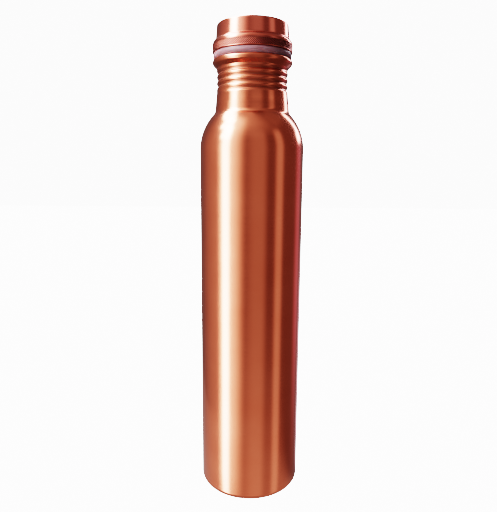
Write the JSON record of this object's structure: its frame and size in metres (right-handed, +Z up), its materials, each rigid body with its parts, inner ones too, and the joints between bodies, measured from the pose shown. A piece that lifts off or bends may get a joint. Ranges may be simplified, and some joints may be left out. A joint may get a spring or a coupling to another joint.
{
  "type": "water bottle",
  "caption": "Slim round copper water bottle with a domed shoulder, rolled neck thread, soft sealing ring and a screw lid with a knurled band.",
  "frame": {"origin": "centre of the ring that the bottle stands on, on the ground plane", "axes": "+Z up along the bottle's axis, from the base to the lid"},
  "size_m": [0.07, 0.07, 0.3204],
  "materials": {
    "copper_body": "lacquered satin copper, fine drawn and turned marks",
    "copper_lid": "lacquered satin copper, diamond knurl on the band",
    "copper_plug": "plain turned copper",
    "silicone": "milky translucent silicone"
  },
  "bodies": {
    "bottle": {"bottle_shell": "copper_body", "neck_thread": "copper_body", "mouth_bead": "copper_body"},
    "seal": {"seal_ring": "silicone"},
    "lid": {"lid_shell": "copper_lid", "plug_sleeve": "copper_plug", "plug_thread": "copper_plug", "plug_disc": "copper_plug"}
  },
  "joints": [
    {"name": "lid_lift", "type": "slide", "parent": "bottle", "child": "seal", "axis": [0, 0, 1], "range_m": [0, 0.02401]},
    {"name": "lid_turn", "type": "hinge", "parent": "seal", "child": "lid", "pos_m": [0, 0, 0.29], "axis": [0, 0, 1], "range_deg": [0, 2160]}
  ],
  "couplings": [
    {"joint": "lid_lift", "follows": "lid_turn", "m_per_rad": 0.00063662}
  ]
}
